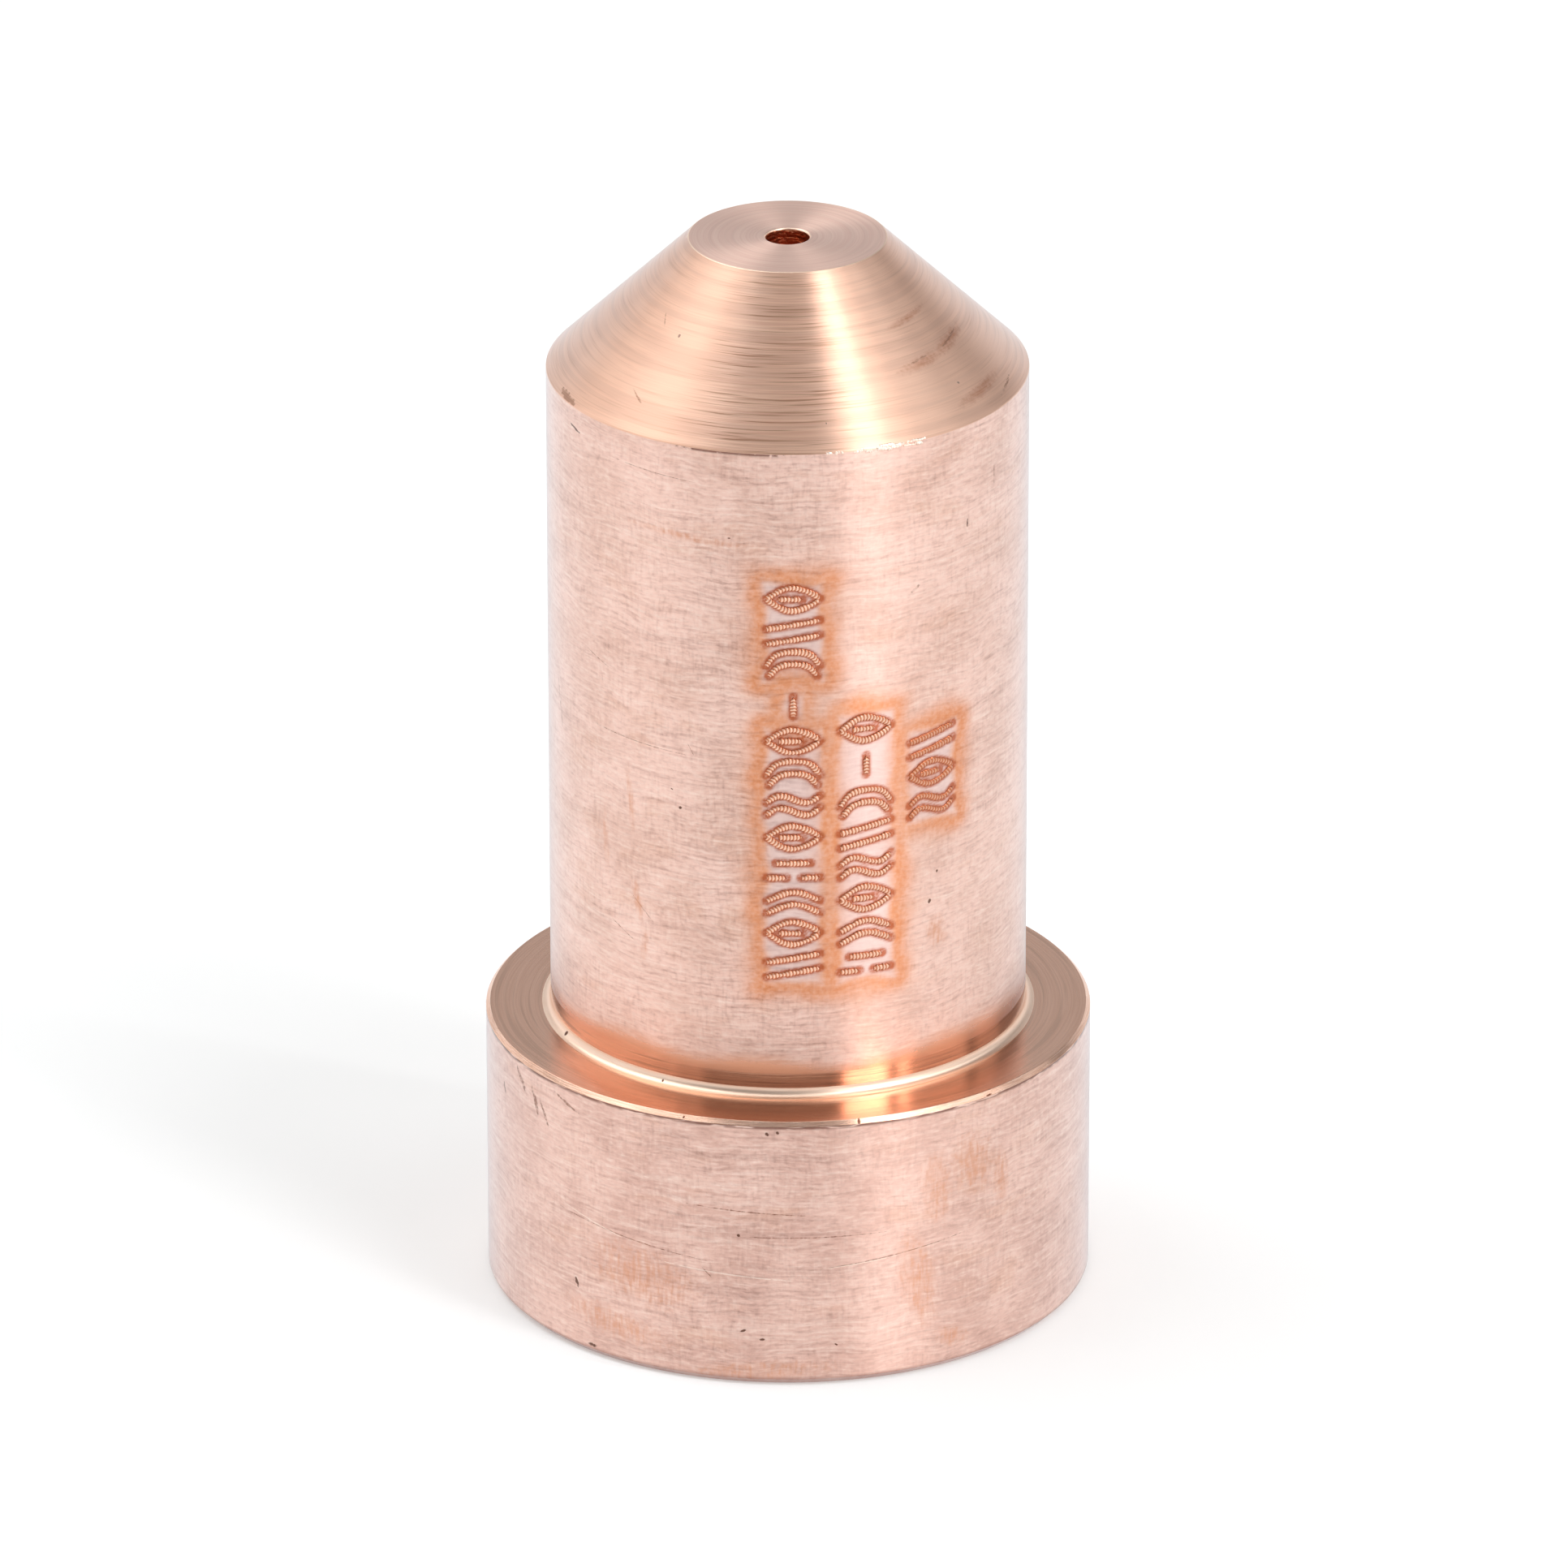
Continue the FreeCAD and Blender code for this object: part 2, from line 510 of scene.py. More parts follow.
def burnt(around, level):
    """How strongly heat has browned, paled and outlined the body at each place."""
    edge = np.zeros(len(around))
    inside = np.zeros(len(around))
    uneven = 0.05 * np.sin(3.1 * around + 2.3 * level) + 0.04 * np.sin(5.7 * level - 4.3 * around)
    for first, last, lowest, highest in BURNT_PATCHES:
        beside = np.maximum(first - around, around - last)
        above = np.maximum(lowest - level, level - highest)
        outside = np.hypot(np.maximum(beside, 0), np.maximum(above, 0))
        away = outside + np.minimum(np.maximum(beside, above), 0) + uneven
        spread = np.where(away > BORDER_MIDDLE, BORDER_OUTWARDS, BORDER_INWARDS)
        edge = np.maximum(edge, np.exp(-((away - BORDER_MIDDLE) / spread) ** 2))
        inside = np.maximum(inside, np.clip(-away / PALE_FADE, 0, 1))
    tree = outline_tree()
    outline = np.zeros(len(around))
    for index in np.nonzero(edge + inside > 0.02)[0]:
        gap = tree.find((around[index], level[index], 0))[2]
        outline[index] = math.exp(-(max(gap - BEAD_HALF_WIDTH, 0) / OUTLINE_FADE) ** 2)
    return edge, inside, outline


# Outside of every oval: its edge is 1
FAR_OUT = 9.0


class Shader:
    """A node material with short helpers for the nodes that it uses."""

    def __init__(self, name):
        self.material = bpy.data.materials.new(name)
        self.material.use_nodes = True
        self.tree = self.material.node_tree
        self.tree.nodes.clear()
        self.output = self.tree.nodes.new("ShaderNodeOutputMaterial")

    def node(self, kind, inputs=(), **settings):
        made = self.tree.nodes.new(kind)
        for name, value in settings.items():
            setattr(made, name, value)
        for socket, value in dict(inputs).items():
            self.put(made.inputs[socket], value)
        return made

    def put(self, socket, value):
        if isinstance(value, bpy.types.NodeSocket):
            self.tree.links.new(value, socket)
        elif isinstance(value, tuple) and len(value) == 3 and socket.type == "RGBA":
            socket.default_value = (*value, 1)
        else:
            socket.default_value = value

    def math(self, operation, first, second=0.0, third=0.0, clamp=False):
        inputs = {0: first, 1: second, 2: third}
        return self.node("ShaderNodeMath", inputs, operation=operation, use_clamp=clamp).outputs[0]

    def mix(self, share, first, second):
        """Two colours mixed: the Mix node takes them at sockets 6 and 7, and gives their mix at 2."""
        return self.node("ShaderNodeMix", {0: share, 6: first, 7: second}, data_type="RGBA").outputs[2]

    def tint(self, colour, mask, strength, other):
        """The colour, with the other one mixed in by that strength where the mask is 1."""
        return self.mix(self.math("MULTIPLY", mask, strength), colour, other)

    def blend(self, share, first, second):
        """Two numbers mixed: the Mix node takes them at sockets 2 and 3."""
        return self.node("ShaderNodeMix", {0: share, 2: first, 3: second}, data_type="FLOAT").outputs[0]

    def step(self, value, start, stop, low=0.0, high=1.0):
        """A smooth step of value from start to stop, which may fall."""
        inputs = {"Value": value, 1: start, 2: stop, 3: low, 4: high}
        return self.node("ShaderNodeMapRange", inputs, interpolation_type="SMOOTHSTEP").outputs[0]

    def attribute(self, name):
        return self.node("ShaderNodeAttribute", attribute_name=name).outputs["Fac"]

    def place(self):
        """Object coordinates in millimetres, the run along the section and the turn from the front."""
        coordinates = self.node("ShaderNodeTexCoord").outputs["Object"]
        scaled = self.node("ShaderNodeVectorMath", {0: coordinates, "Scale": 1 / MM}, operation="SCALE")
        parts = self.node("ShaderNodeSeparateXYZ", {0: scaled.outputs[0]})
        self.x, self.y, self.z = parts.outputs
        flat = self.math("ADD", self.math("MULTIPLY", self.x, self.x), self.math("MULTIPLY", self.y, self.y))
        self.run = self.math("SUBTRACT", self.z, self.math("SQRT", flat))
        self.turn = self.math("ARCTAN2", self.x, self.math("MULTIPLY", self.y, -1.0))
        self.point = scaled.outputs[0]
        self.wobble = self.math("MULTIPLY_ADD", self.clouds(9.0, 2.0), 2.4, -1.2)
        self.sway = 0.0

    def noise(self, vector, scale, detail, roughness):
        inputs = {"Vector": vector, "Scale": scale, "Detail": detail, "Roughness": roughness}
        return self.node("ShaderNodeTexNoise", inputs).outputs[0]

    def drawn_out(self, place, waves, detail, roughness, shift):
        """Noise with its own number of waves in a millimetre along each axis of the place."""
        parts = [self.math("MULTIPLY_ADD", part, wave, shift) for part, wave in zip(place, waves)]
        vector = self.node("ShaderNodeCombineXYZ", dict(enumerate(parts))).outputs[0]
        return self.noise(vector, 1.0, detail, roughness)

    def lines(self, around, along, detail=2.0, roughness=0.5, shift=0.0):
        """Noise drawn out round the axis."""
        place = (self.x, self.y, self.math("ADD", self.run, self.sway))
        return self.drawn_out(place, (around, around, along), detail, roughness, shift)

    def across_lines(self, around, along, detail=2.0, roughness=0.5, shift=0.0):
        """Noise drawn out up the part."""
        place = (self.math("ADD", self.x, self.sway), self.y, self.z)
        return self.drawn_out(place, (around, around, along), detail, roughness, shift)

    def clouds(self, scale, detail=3.0, roughness=0.5, shift=0.0):
        """Noise that is the same in every direction."""
        moved = self.node("ShaderNodeVectorMath", {0: self.point, 1: (shift, shift, shift)}, operation="ADD")
        return self.noise(moved.outputs[0], scale, detail, roughness)

    def spot(self, angle, level, wide, tall, turned=0.0):
        """How far out of an oval each place is, 1 on its edge: middle, half sizes in millimetres and turn."""
        radius = FLANGE_RADIUS if level < FLANGE_HEIGHT else BODY_RADIUS
        cosine, sine = math.cos(turned * DEGREE), math.sin(turned * DEGREE)
        middle = angle * DEGREE * radius
        along_middle = -(level * sine + middle * cosine) / wide
        beside_middle = (middle * sine - level * cosine) / tall
        along = self.math("MULTIPLY_ADD", self.turn, radius * cosine / wide, along_middle)
        beside = self.math("MULTIPLY_ADD", self.z, cosine / tall, beside_middle)
        if turned:
            along = self.math("MULTIPLY_ADD", self.z, sine / wide, along)
            beside = self.math("MULTIPLY_ADD", self.turn, -radius * sine / tall, beside)
        return self.math("MULTIPLY_ADD", beside, beside, self.math("MULTIPLY", along, along))

    def spots(self, places, outer=1.0, inner=0.35):
        """All of the ovals in one mask, 1 inside, with uneven edges."""
        nearest = FAR_OUT
        for place in places:
            nearest = self.math("MINIMUM", nearest, self.spot(*place))
        return self.step(self.math("ADD", nearest, self.wobble), outer, inner)

    def soft_spots(self, places):
        """All of the ovals in one mask that fades from their middles outwards."""
        return self.spots(places, 1.6, -0.6)

    def bump(self, height, distance):
        """Height 1 is distance millimetres out of the surface."""
        inputs = {"Height": height, "Distance": distance * MM, "Strength": 1.0}
        return self.node("ShaderNodeBump", inputs).outputs[0]

    def finish(self, colour, roughness, normal, **others):
        """The metal itself, on the material's output."""
        inputs = {"Base Color": colour, "Metallic": 1.0, "Roughness": roughness, "Normal": normal, **others}
        metal = self.node("ShaderNodeBsdfPrincipled", inputs)
        self.tree.links.new(metal.outputs[0], self.output.inputs["Surface"])
        return self.material


def copper_shader(name):
    """A material that knows where on the part each place lies."""
    s = Shader(name)
    s.place()
    return s


# Fine lines spread the gloss across themselves
ACROSS_THE_LINES = 0.25
# Films that lie on the copper: thin oxide and grease that pale it, and a clear one for the brightest glints
SKIN_FILM = {
    "Coat Roughness": 0.5, "Coat IOR": 1.7,
    "Sheen Weight": 1.0, "Sheen Roughness": 0.35, "Sheen Tint": (0.93, 0.95, 1.0),
}
CONE_FILM = {
    "Coat Roughness": 0.3, "Coat IOR": 1.65,
    "Sheen Weight": 0.5, "Sheen Roughness": 0.25, "Sheen Tint": (0.90, 0.92, 1.0),
}
TIP_FILM = {"Coat Weight": 0.3, "Coat Roughness": 0.3, "Coat IOR": 1.6}
CLEAR_FILM = {"Coat Weight": 0.85, "Coat Roughness": 0.15, "Coat IOR": 1.6}


def turned_copper(s, colour, roughness, height, depth, anisotropic, film):
    """Copper with fine lines round the axis: height 1 of them is depth millimetres."""
    tangent = s.node("ShaderNodeTangent", direction_type="RADIAL", axis="Z").outputs[0]
    lines = {"Anisotropic": anisotropic, "Anisotropic Rotation": ACROSS_THE_LINES, "Tangent": tangent}
    return s.finish(colour, roughness, s.bump(height, depth), **lines, **film)


# Small marks of making and use: angle round from the front, level, half width, half height, turn
BODY_SPECKS = (
    (-26.4, 13.53, 0.05, 0.04), (-28.6, 13.95, 0.04, 0.02, -35), (35.8, 11.01, 0.07, 0.045, 60),
    (38.0, 11.7, 0.03, 0.05), (47.5, 20.0, 0.03, 0.12), (-14, 20.3, 0.05, 0.02),
    (-61, 21.9, 0.30, 0.035, -14),
)
BODY_CUTS = (
    (-71.0, 14.9, 0.75, 0.018, -78), (-69.5, 14.5, 0.45, 0.016, -80), (-23.5, 15.0, 0.16, 0.014, -60),
    (31.5, 18.8, 0.14, 0.04, 35), (-52, 16.6, 0.55, 0.014, -16), (-33, 21.6, 1.3, 0.012, -3),
    (-38, 14.9, 1.6, 0.012, -2), (58, 20.9, 0.02, 0.35), (-37.0, 10.8, 0.45, 0.016, -42),
    (-43.0, 10.1, 0.50, 0.016, -26),
)
BODY_STAINS = (
    (-38.5, 11.0, 0.12, 0.55, 12), (-40.5, 13.4, 0.10, 0.80, 6), (-36.5, 9.9, 0.10, 0.35, -8),
    (-24.0, 20.2, 1.5, 0.10, -3), (-49.0, 12.2, 0.10, 0.70, 4), (38.0, 10.2, 0.30, 0.40, 20),
)
FLANGE_SPECKS = (
    (-9.4, 3.75, 0.045, 0.035), (-5.0, 1.15, 0.07, 0.04), (-8.5, 1.35, 0.08, 0.03, 20),
    (9.0, 1.0, 0.05, 0.025, -30), (-44.0, 1.7, 0.05, 0.14, 20), (-40, 0.25, 0.16, 0.05),
    (-4.0, 6.33, 0.05, 0.06, 40), (-2.0, 6.36, 0.04, 0.05, 40),
)
FLANGE_CUTS = (
    (-56.0, 5.75, 0.38, 0.08, -66), (-53.0, 5.55, 0.34, 0.05, -60), (-61.0, 6.05, 0.38, 0.08, -50),
    (-46.0, 6.10, 0.45, 0.040, -20), (-69.0, 5.5, 0.20, 0.05, -70), (-15.5, 2.75, 0.20, 0.018, -45),
    (-8, 4.35, 1.6, 0.018, -3), (4, 3.72, 1.8, 0.014), (20, 3.1, 2.2, 0.014, 6), (-32, 3.25, 2.4, 0.012, -6),
)
FLANGE_STAINS = (
    (32.5, 0.75, 0.45, 0.25, -20), (-29.0, 2.4, 1.4, 0.7, -12), (-35.0, 1.0, 1.4, 0.35, -8),
    (-5.0, 0.35, 1.6, 0.25, 4), (37.0, 5.0, 0.6, 0.8, 15), (29.0, 4.6, 0.4, 0.9, 5),
    (44.0, 4.4, 0.25, 0.7, 5), (25.0, 2.4, 0.45, 1.2, 10),
)
PALE_SCRATCHES = ((-12, 2.75, 1.9, 0.018, -4), (14, 3.0, 1.2, 0.014, 5), (-40, 3.4, 1.0, 0.016, -12))
# Not a mark: where the painted shade under the shoulder's edge lies, left of the front
SHOULDER_SHADE_PATCH = (-13.0, SHOULDER_LEVEL, 1.25, 0.4)
CONE_SPECKS = ((-41.7, 24.15, 0.05, 0.03), (53.4, 23.07, 0.05, 0.03), (10.0, 22.9, 0.02, 0.02))
CONE_SMEARS = (
    (-66, 22.46, 0.50, 0.07, -4), (-44, 23.0, 0.3, 0.02, -20), (45, 23.66, 0.45, 0.025, 3),
    (-52, 24.3, 0.25, 0.015, -30), (64, 23.76, 0.7, 0.02, 6), (70, 22.62, 0.5, 0.025, 8),
)
CONE_STAINS = (
    (45.5, 23.60, 0.95, 0.10, 3), (62.0, 23.72, 1.1, 0.11, 5), (60.0, 22.80, 1.0, 0.10, 4),
    (52.0, 24.36, 1.1, 0.06, 3),
)
RIM_SPECKS = ((13.4, 6.55, 0.04, 0.08), (-20.0, 6.55, 0.03, 0.03), (41.0, 6.52, 0.10, 0.02))
EDGE_SPECKS = (
    (-67.0, 6.68, 0.07, 0.05), (-31.0, 6.66, 0.03, 0.03), (2.0, 22.38, 0.5, 0.02), (-12.0, 22.38, 0.8, 0.02),
    (-66.0, 22.37, 0.45, 0.04), (-26.5, 22.36, 0.03, 0.03), (46.5, 22.38, 0.30, 0.025),
    (69.0, 22.38, 0.25, 0.02),
)

# Colours of the skin, as linear red, green and blue: two where it varies between them
BODY_COLOURS = ((0.82, 0.51, 0.41), (0.93, 0.61, 0.51))
# The flange's skin is the body's, painted a little darker: painted shade
SHADED_FLANGE_COLOURS = ((0.75, 0.45, 0.365), (0.87, 0.555, 0.46))
SMEAR_COLOUR = (0.76, 0.42, 0.29)
WORN_COLOUR = (0.46, 0.25, 0.20)
PALE_COLOUR = (1.0, 0.80, 0.70)
CUT_COLOUR = (0.24, 0.10, 0.06)
SPECK_COLOUR = (0.12, 0.05, 0.03)
STAIN_COLOUR = (0.74, 0.34, 0.20)
SCRATCH_COLOUR = (1.0, 0.82, 0.70)
# Painted contact shadow along the flange's foot, where it stands on the floor
CONTACT_SHADOW_COLOUR = (0.34, 0.17, 0.14)
# Painted shade under the flange's top edge and under the shoulder
SHADED_COLOUR = (0.16, 0.06, 0.04)
BURNT_INSIDE_COLOUR = (0.84, 0.64, 0.62)
BURNT_BORDER_COLOUR = (0.80, 0.28, 0.095)
BURNT_OUTLINE_COLOUR = (0.50, 0.12, 0.045)
FRESH_SKIN_COLOURS = ((0.76, 0.34, 0.20), (0.87, 0.44, 0.28))

# How far the skin's lines sway, and the level about which its fresh foot ends
SKIN_SWAY = 0.22
FRESH_MIDDLE = 6.85


def skin_hairs(s, areas, fine, across, grain):
    """Dark and pale hairs and flecks of drawing and handling, crossing one another, and their relief."""
    long_lines = s.lines(0.22, 9.0, 1.0, 0.5, 6.0)
    flecks = s.lines(5.0, 14.0, 1.0, 0.5, 14.0)
    crossing = s.step(areas, 0.36, 0.56, 0.2, 0.8)
    worn = s.math("ADD", s.step(fine, 0.50, 0.72), s.math("MULTIPLY", s.step(across, 0.52, 0.72), crossing))
    worn = s.math("MULTIPLY_ADD", s.step(flecks, 0.50, 0.70), 0.9, worn)
    worn = s.math("MULTIPLY_ADD", s.step(grain, 0.5, 0.75), 0.7, worn)
    worn = s.math("MULTIPLY_ADD", s.step(long_lines, 0.56, 0.68), 0.8, worn)
    pale = s.math("ADD", s.step(fine, 0.48, 0.30), s.math("MULTIPLY", s.step(flecks, 0.48, 0.30), 0.9))
    pale = s.math("MULTIPLY_ADD", s.math("MULTIPLY", s.step(across, 0.46, 0.28), crossing), 0.7, pale)
    pale = s.math("MULTIPLY_ADD", s.step(long_lines, 0.42, 0.30), 0.8, pale)
    height = s.math("MULTIPLY", s.math("ADD", fine, flecks), -0.6)
    return worn, pale, s.math("MULTIPLY_ADD", across, -0.4, height)


def skin_marks(s, colour, across, grain, on_flange):
    """The colour with its cuts, specks and stains, and where they have laid the copper bare."""
    specks = s.spots(FLANGE_SPECKS if on_flange else BODY_SPECKS)
    cuts = s.spots(FLANGE_CUTS if on_flange else BODY_CUTS)
    cuts = s.math("MULTIPLY", cuts, s.step(grain, 0.3, 0.6, 0.3, 1.0))
    colour = s.tint(colour, cuts, 0.75 if on_flange else 0.55, CUT_COLOUR)
    colour = s.tint(colour, specks, 0.9, SPECK_COLOUR)
    stained = s.soft_spots(FLANGE_STAINS if on_flange else BODY_STAINS)
    stained = s.math("MULTIPLY", stained, s.step(across, 0.35, 0.65, 0.35, 1.0))
    return s.tint(colour, stained, 0.85, STAIN_COLOUR), s.math("MAXIMUM", cuts, specks)


def skin_heat(s, colour, grain, patches):
    """Heat from the marking: a brown border, a pale inside and a dark outline round each stroke."""
    border = s.math("MULTIPLY", s.attribute("burnt_edge"), s.step(grain, 0.2, 0.7, 0.75, 1.0))
    border = s.math("MULTIPLY", border, s.step(patches, 0.3, 0.6, 0.75, 1.0))
    outline = s.math("MULTIPLY", s.attribute("burnt_outline"), s.step(grain, 0.25, 0.55, 0.6, 1.0))
    colour = s.tint(colour, s.attribute("burnt_inside"), 0.5, BURNT_INSIDE_COLOUR)
    colour = s.tint(colour, border, 0.85, BURNT_BORDER_COLOUR)
    colour = s.tint(colour, outline, 0.9, BURNT_OUTLINE_COLOUR)
    return colour, s.math("MAXIMUM", s.math("MULTIPLY", border, 0.8), outline)


def fresh_share(s, fine):
    """Where the body's foot was turned afresh with the flange's top."""
    above = s.math("SUBTRACT", s.z, FRESH_MIDDLE)
    edge = s.math("MULTIPLY_ADD", s.clouds(0.35, 0.0, 0.5, 3.0), -0.8, above)
    return s.step(s.math("MULTIPLY_ADD", fine, -0.25, edge), 0.35, -0.20)


def skin_material(name, on_flange):
    """Drawn copper skin of the body or the flange: matte, pink, scuffed and stained, with painted shade under
    the edge above it and a painted contact shadow at the flange's foot.
    """
    s = copper_shader(name)
    areas = s.clouds(0.8, 1.0, 0.5, 21.0)
    s.sway = s.math("MULTIPLY", s.clouds(0.9, 0.0, 0.5, 31.0), SKIN_SWAY)
    fine = s.lines(1.6, 15.0, 2.0, 0.6)
    across = s.across_lines(12.0, 2.6, 1.0, 0.5, 9.0)
    grain = s.clouds(11.0, 1.0, 0.6)
    patches = s.clouds(0.6, 2.0, 0.55, 7.0)
    worn, pale, height = skin_hairs(s, areas, fine, across, grain)
    rough = s.math("MULTIPLY_ADD", worn, 0.05, s.blend(fine, 0.31, 0.40))

    colour = s.mix(s.step(patches, 0.35, 0.65), *(SHADED_FLANGE_COLOURS if on_flange else BODY_COLOURS))
    smears = s.step(s.lines(0.35, 1.9, 2.0, 0.6, 2.0), 0.50, 0.68)
    smears = s.math("MULTIPLY", smears, s.step(areas, 0.45, 0.6))
    colour = s.tint(colour, smears, 0.4, SMEAR_COLOUR)
    colour = s.tint(colour, worn, 0.17, WORN_COLOUR)
    colour = s.tint(colour, pale, 0.22, PALE_COLOUR)
    colour, bare = skin_marks(s, colour, across, grain, on_flange)

    if on_flange:
        colour = s.tint(colour, s.spots(PALE_SCRATCHES), 0.6, SCRATCH_COLOUR)
        # Painted contact shadow: the flange darkens over its lowest tenths of a millimetre, towards the floor
        foot = s.math("MULTIPLY", s.step(s.z, 0.24, 0.14), 0.6)
        colour = s.mix(foot, colour, CONTACT_SHADOW_COLOUR)
        bare = s.math("MAXIMUM", bare, foot)
        # Painted shade in a thin band just under the flange's top edge
        near_edge = s.step(s.z, FLANGE_HEIGHT - 0.20, FLANGE_HEIGHT - 0.12)
        shaded = s.math("MULTIPLY", near_edge, s.step(fine, 0.35, 0.5))
    else:
        colour, heated = skin_heat(s, colour, grain, patches)
        fresh = fresh_share(s, fine)
        height = s.math("MULTIPLY", height, s.step(fresh, 0.5, 0.0))
        colour = s.mix(fresh, colour, s.mix(fine, *FRESH_SKIN_COLOURS))
        rough = s.blend(fresh, rough, s.blend(fine, 0.20, 0.27))
        bare = s.math("MAXIMUM", bare, s.math("MAXIMUM", fresh, heated))
        # Painted shade in a thin band just under the shoulder, left of the front
        near_edge = s.step(s.z, SHOULDER_LEVEL - 0.10, SHOULDER_LEVEL - 0.04)
        shaded = s.math("MULTIPLY", near_edge, s.spots((SHOULDER_SHADE_PATCH,)))
    colour = s.tint(colour, shaded, 0.8, SHADED_COLOUR)
    bare = s.math("MULTIPLY_ADD", worn, 0.1, s.math("MAXIMUM", bare, shaded))
    film = {**SKIN_FILM, "Coat Weight": s.math("SUBTRACT", 1.0, bare, clamp=True)}
    return turned_copper(s, colour, rough, height, 0.0022, 0.9, film)


# Degrees left of the front where the dark scores are strongest: real turning scores, darkened and deepened
# there as painted shade
SCORE_SHADE_MIDDLE = 5.0


def cone_material():
    """Fresh turned copper of the nose: golden, with fine lines and short dark scores, darkest near the front
    as painted shade.
    """
    s = copper_shader("copper_cone")
    fine = s.lines(0.5, 22.0, 2.0, 0.6)
    scores = s.lines(0.5, 19.0, 2.0, 0.6, 4.0)
    bands = s.lines(0.18, 3.5, 1.0, 0.5, 8.0)
    areas = s.clouds(0.7, 1.0, 0.5, 5.0)
    # Painted shade: the scores' darkness and the fine lines' contrast grow towards the front
    scores_and_painted_shade = s.math("ABSOLUTE", s.math("ADD", s.turn, SCORE_SHADE_MIDDLE * DEGREE))
    scores_and_painted_shade = s.step(s.math("MULTIPLY_ADD", areas, 0.4, scores_and_painted_shade), 0.70, 0.35, 0.25, 1.0)
    grained = s.blend(scores_and_painted_shade, 0.6, s.step(fine, 0.32, 0.66))
    colour = s.mix(grained, (0.84, 0.47, 0.32), (0.99, 0.63, 0.45))
    colour = s.tint(colour, s.step(bands, 0.46, 0.62), 0.35, (0.68, 0.38, 0.26))
    dark = s.math("MULTIPLY", s.step(scores, 0.52, 0.68), scores_and_painted_shade)
    colour = s.tint(colour, dark, 0.5, (0.34, 0.16, 0.09))
    stained = s.math("MULTIPLY", s.soft_spots(CONE_STAINS), s.step(fine, 0.3, 0.7, 0.5, 1.0))
    colour = s.tint(colour, stained, 0.9, (0.62, 0.27, 0.16))
    smears = s.math("MULTIPLY", s.spots(CONE_SMEARS), s.step(scores, 0.35, 0.6, 0.3, 1.0))
    colour = s.tint(colour, smears, 0.6, (0.34, 0.17, 0.12))
    colour = s.tint(colour, s.spots(CONE_SPECKS), 0.8, (0.20, 0.09, 0.06))
    rough = s.math("MULTIPLY_ADD", dark, 0.10, s.blend(fine, 0.40, 0.48))
    height = s.math("MULTIPLY", s.math("MULTIPLY_ADD", fine, 0.8, scores), s.blend(scores_and_painted_shade, 0.5, 1.0))
    bare = s.math("MAXIMUM", dark, s.math("MAXIMUM", smears, stained))
    film = {**CONE_FILM, "Coat Weight": s.math("SUBTRACT", 1.0, bare)}
    return turned_copper(s, colour, rough, height, 0.003, 0.95, film)


def tip_material():
    """The flat tip: paler, with close rings."""
    s = copper_shader("copper_tip")
    fine = s.lines(0.4, 22.0, 2.0, 0.6)
    rings = s.lines(0.2, 9.0, 1.0, 0.5, 3.0)
    colour = s.mix(s.step(fine, 0.3, 0.7), (0.93, 0.61, 0.50), (1.0, 0.70, 0.58))
    colour = s.tint(colour, s.step(rings, 0.52, 0.66), 0.12, (0.62, 0.38, 0.30))
    height = s.math("ADD", fine, rings)
    return turned_copper(s, colour, s.blend(fine, 0.28, 0.35), height, 0.0015, 0.85, TIP_FILM)


def ledge_material():
    """The flange's top: bright turned copper."""
    s = copper_shader("copper_ledge")
    fine = s.lines(0.4, 40.0, 3.0, 0.6)
    rings = s.lines(0.2, 8.0, 2.0, 0.5, 3.0)
    colour = s.mix(s.step(fine, 0.3, 0.7), (0.84, 0.45, 0.29), (0.94, 0.54, 0.37))
    colour = s.tint(colour, s.step(rings, 0.52, 0.66), 0.4, (0.55, 0.30, 0.18))
    height = s.math("ADD", fine, rings)
    return turned_copper(s, colour, s.blend(fine, 0.14, 0.20), height, 0.0016, 0.65, CLEAR_FILM)


def fresh_material():
    """The foot of the body, turned afresh with the flange's top."""
    s = copper_shader("copper_fresh")
    fine = s.lines(0.4, 30.0, 3.0, 0.6)
    streaks = s.lines(0.5, 16.0, 2.0, 0.6, 12.0)
    colour = s.mix(s.step(fine, 0.3, 0.7), (0.72, 0.35, 0.22), (0.84, 0.45, 0.29))
    colour = s.tint(colour, s.step(streaks, 0.52, 0.68), 0.5, (0.36, 0.16, 0.09))
    return turned_copper(s, colour, s.blend(fine, 0.14, 0.20), fine, 0.0016, 0.65, CLEAR_FILM)


def rim_material():
    """The narrow edge round the flange's top."""
    s = copper_shader("copper_rim")
    fine = s.lines(2.0, 30.0, 2.0, 0.5)
    colour = s.mix(s.step(fine, 0.3, 0.7), (0.78, 0.47, 0.34), (0.92, 0.62, 0.48))
    colour = s.mix(s.spots(RIM_SPECKS), colour, (0.20, 0.08, 0.05))
    return turned_copper(s, colour, s.blend(fine, 0.22, 0.30), fine, 0.002, 0.88, {})


def edge_material():
    """Broken and burnished edges and small rounds: their colour is paler than copper, a painted highlight
    along the thin bright lines that they catch.
    """
    s = copper_shader("copper_edge")
    fine = s.lines(2.0, 20.0, 2.0, 0.5)
    # Painted highlight: colours paler than bare copper
    colour = s.mix(fine, (0.95, 0.66, 0.50), (1.0, 0.80, 0.65))
    colour = s.mix(s.spots(EDGE_SPECKS), colour, (0.14, 0.06, 0.04))
    return s.finish(colour, 0.36, s.bump(fine, 0.001))


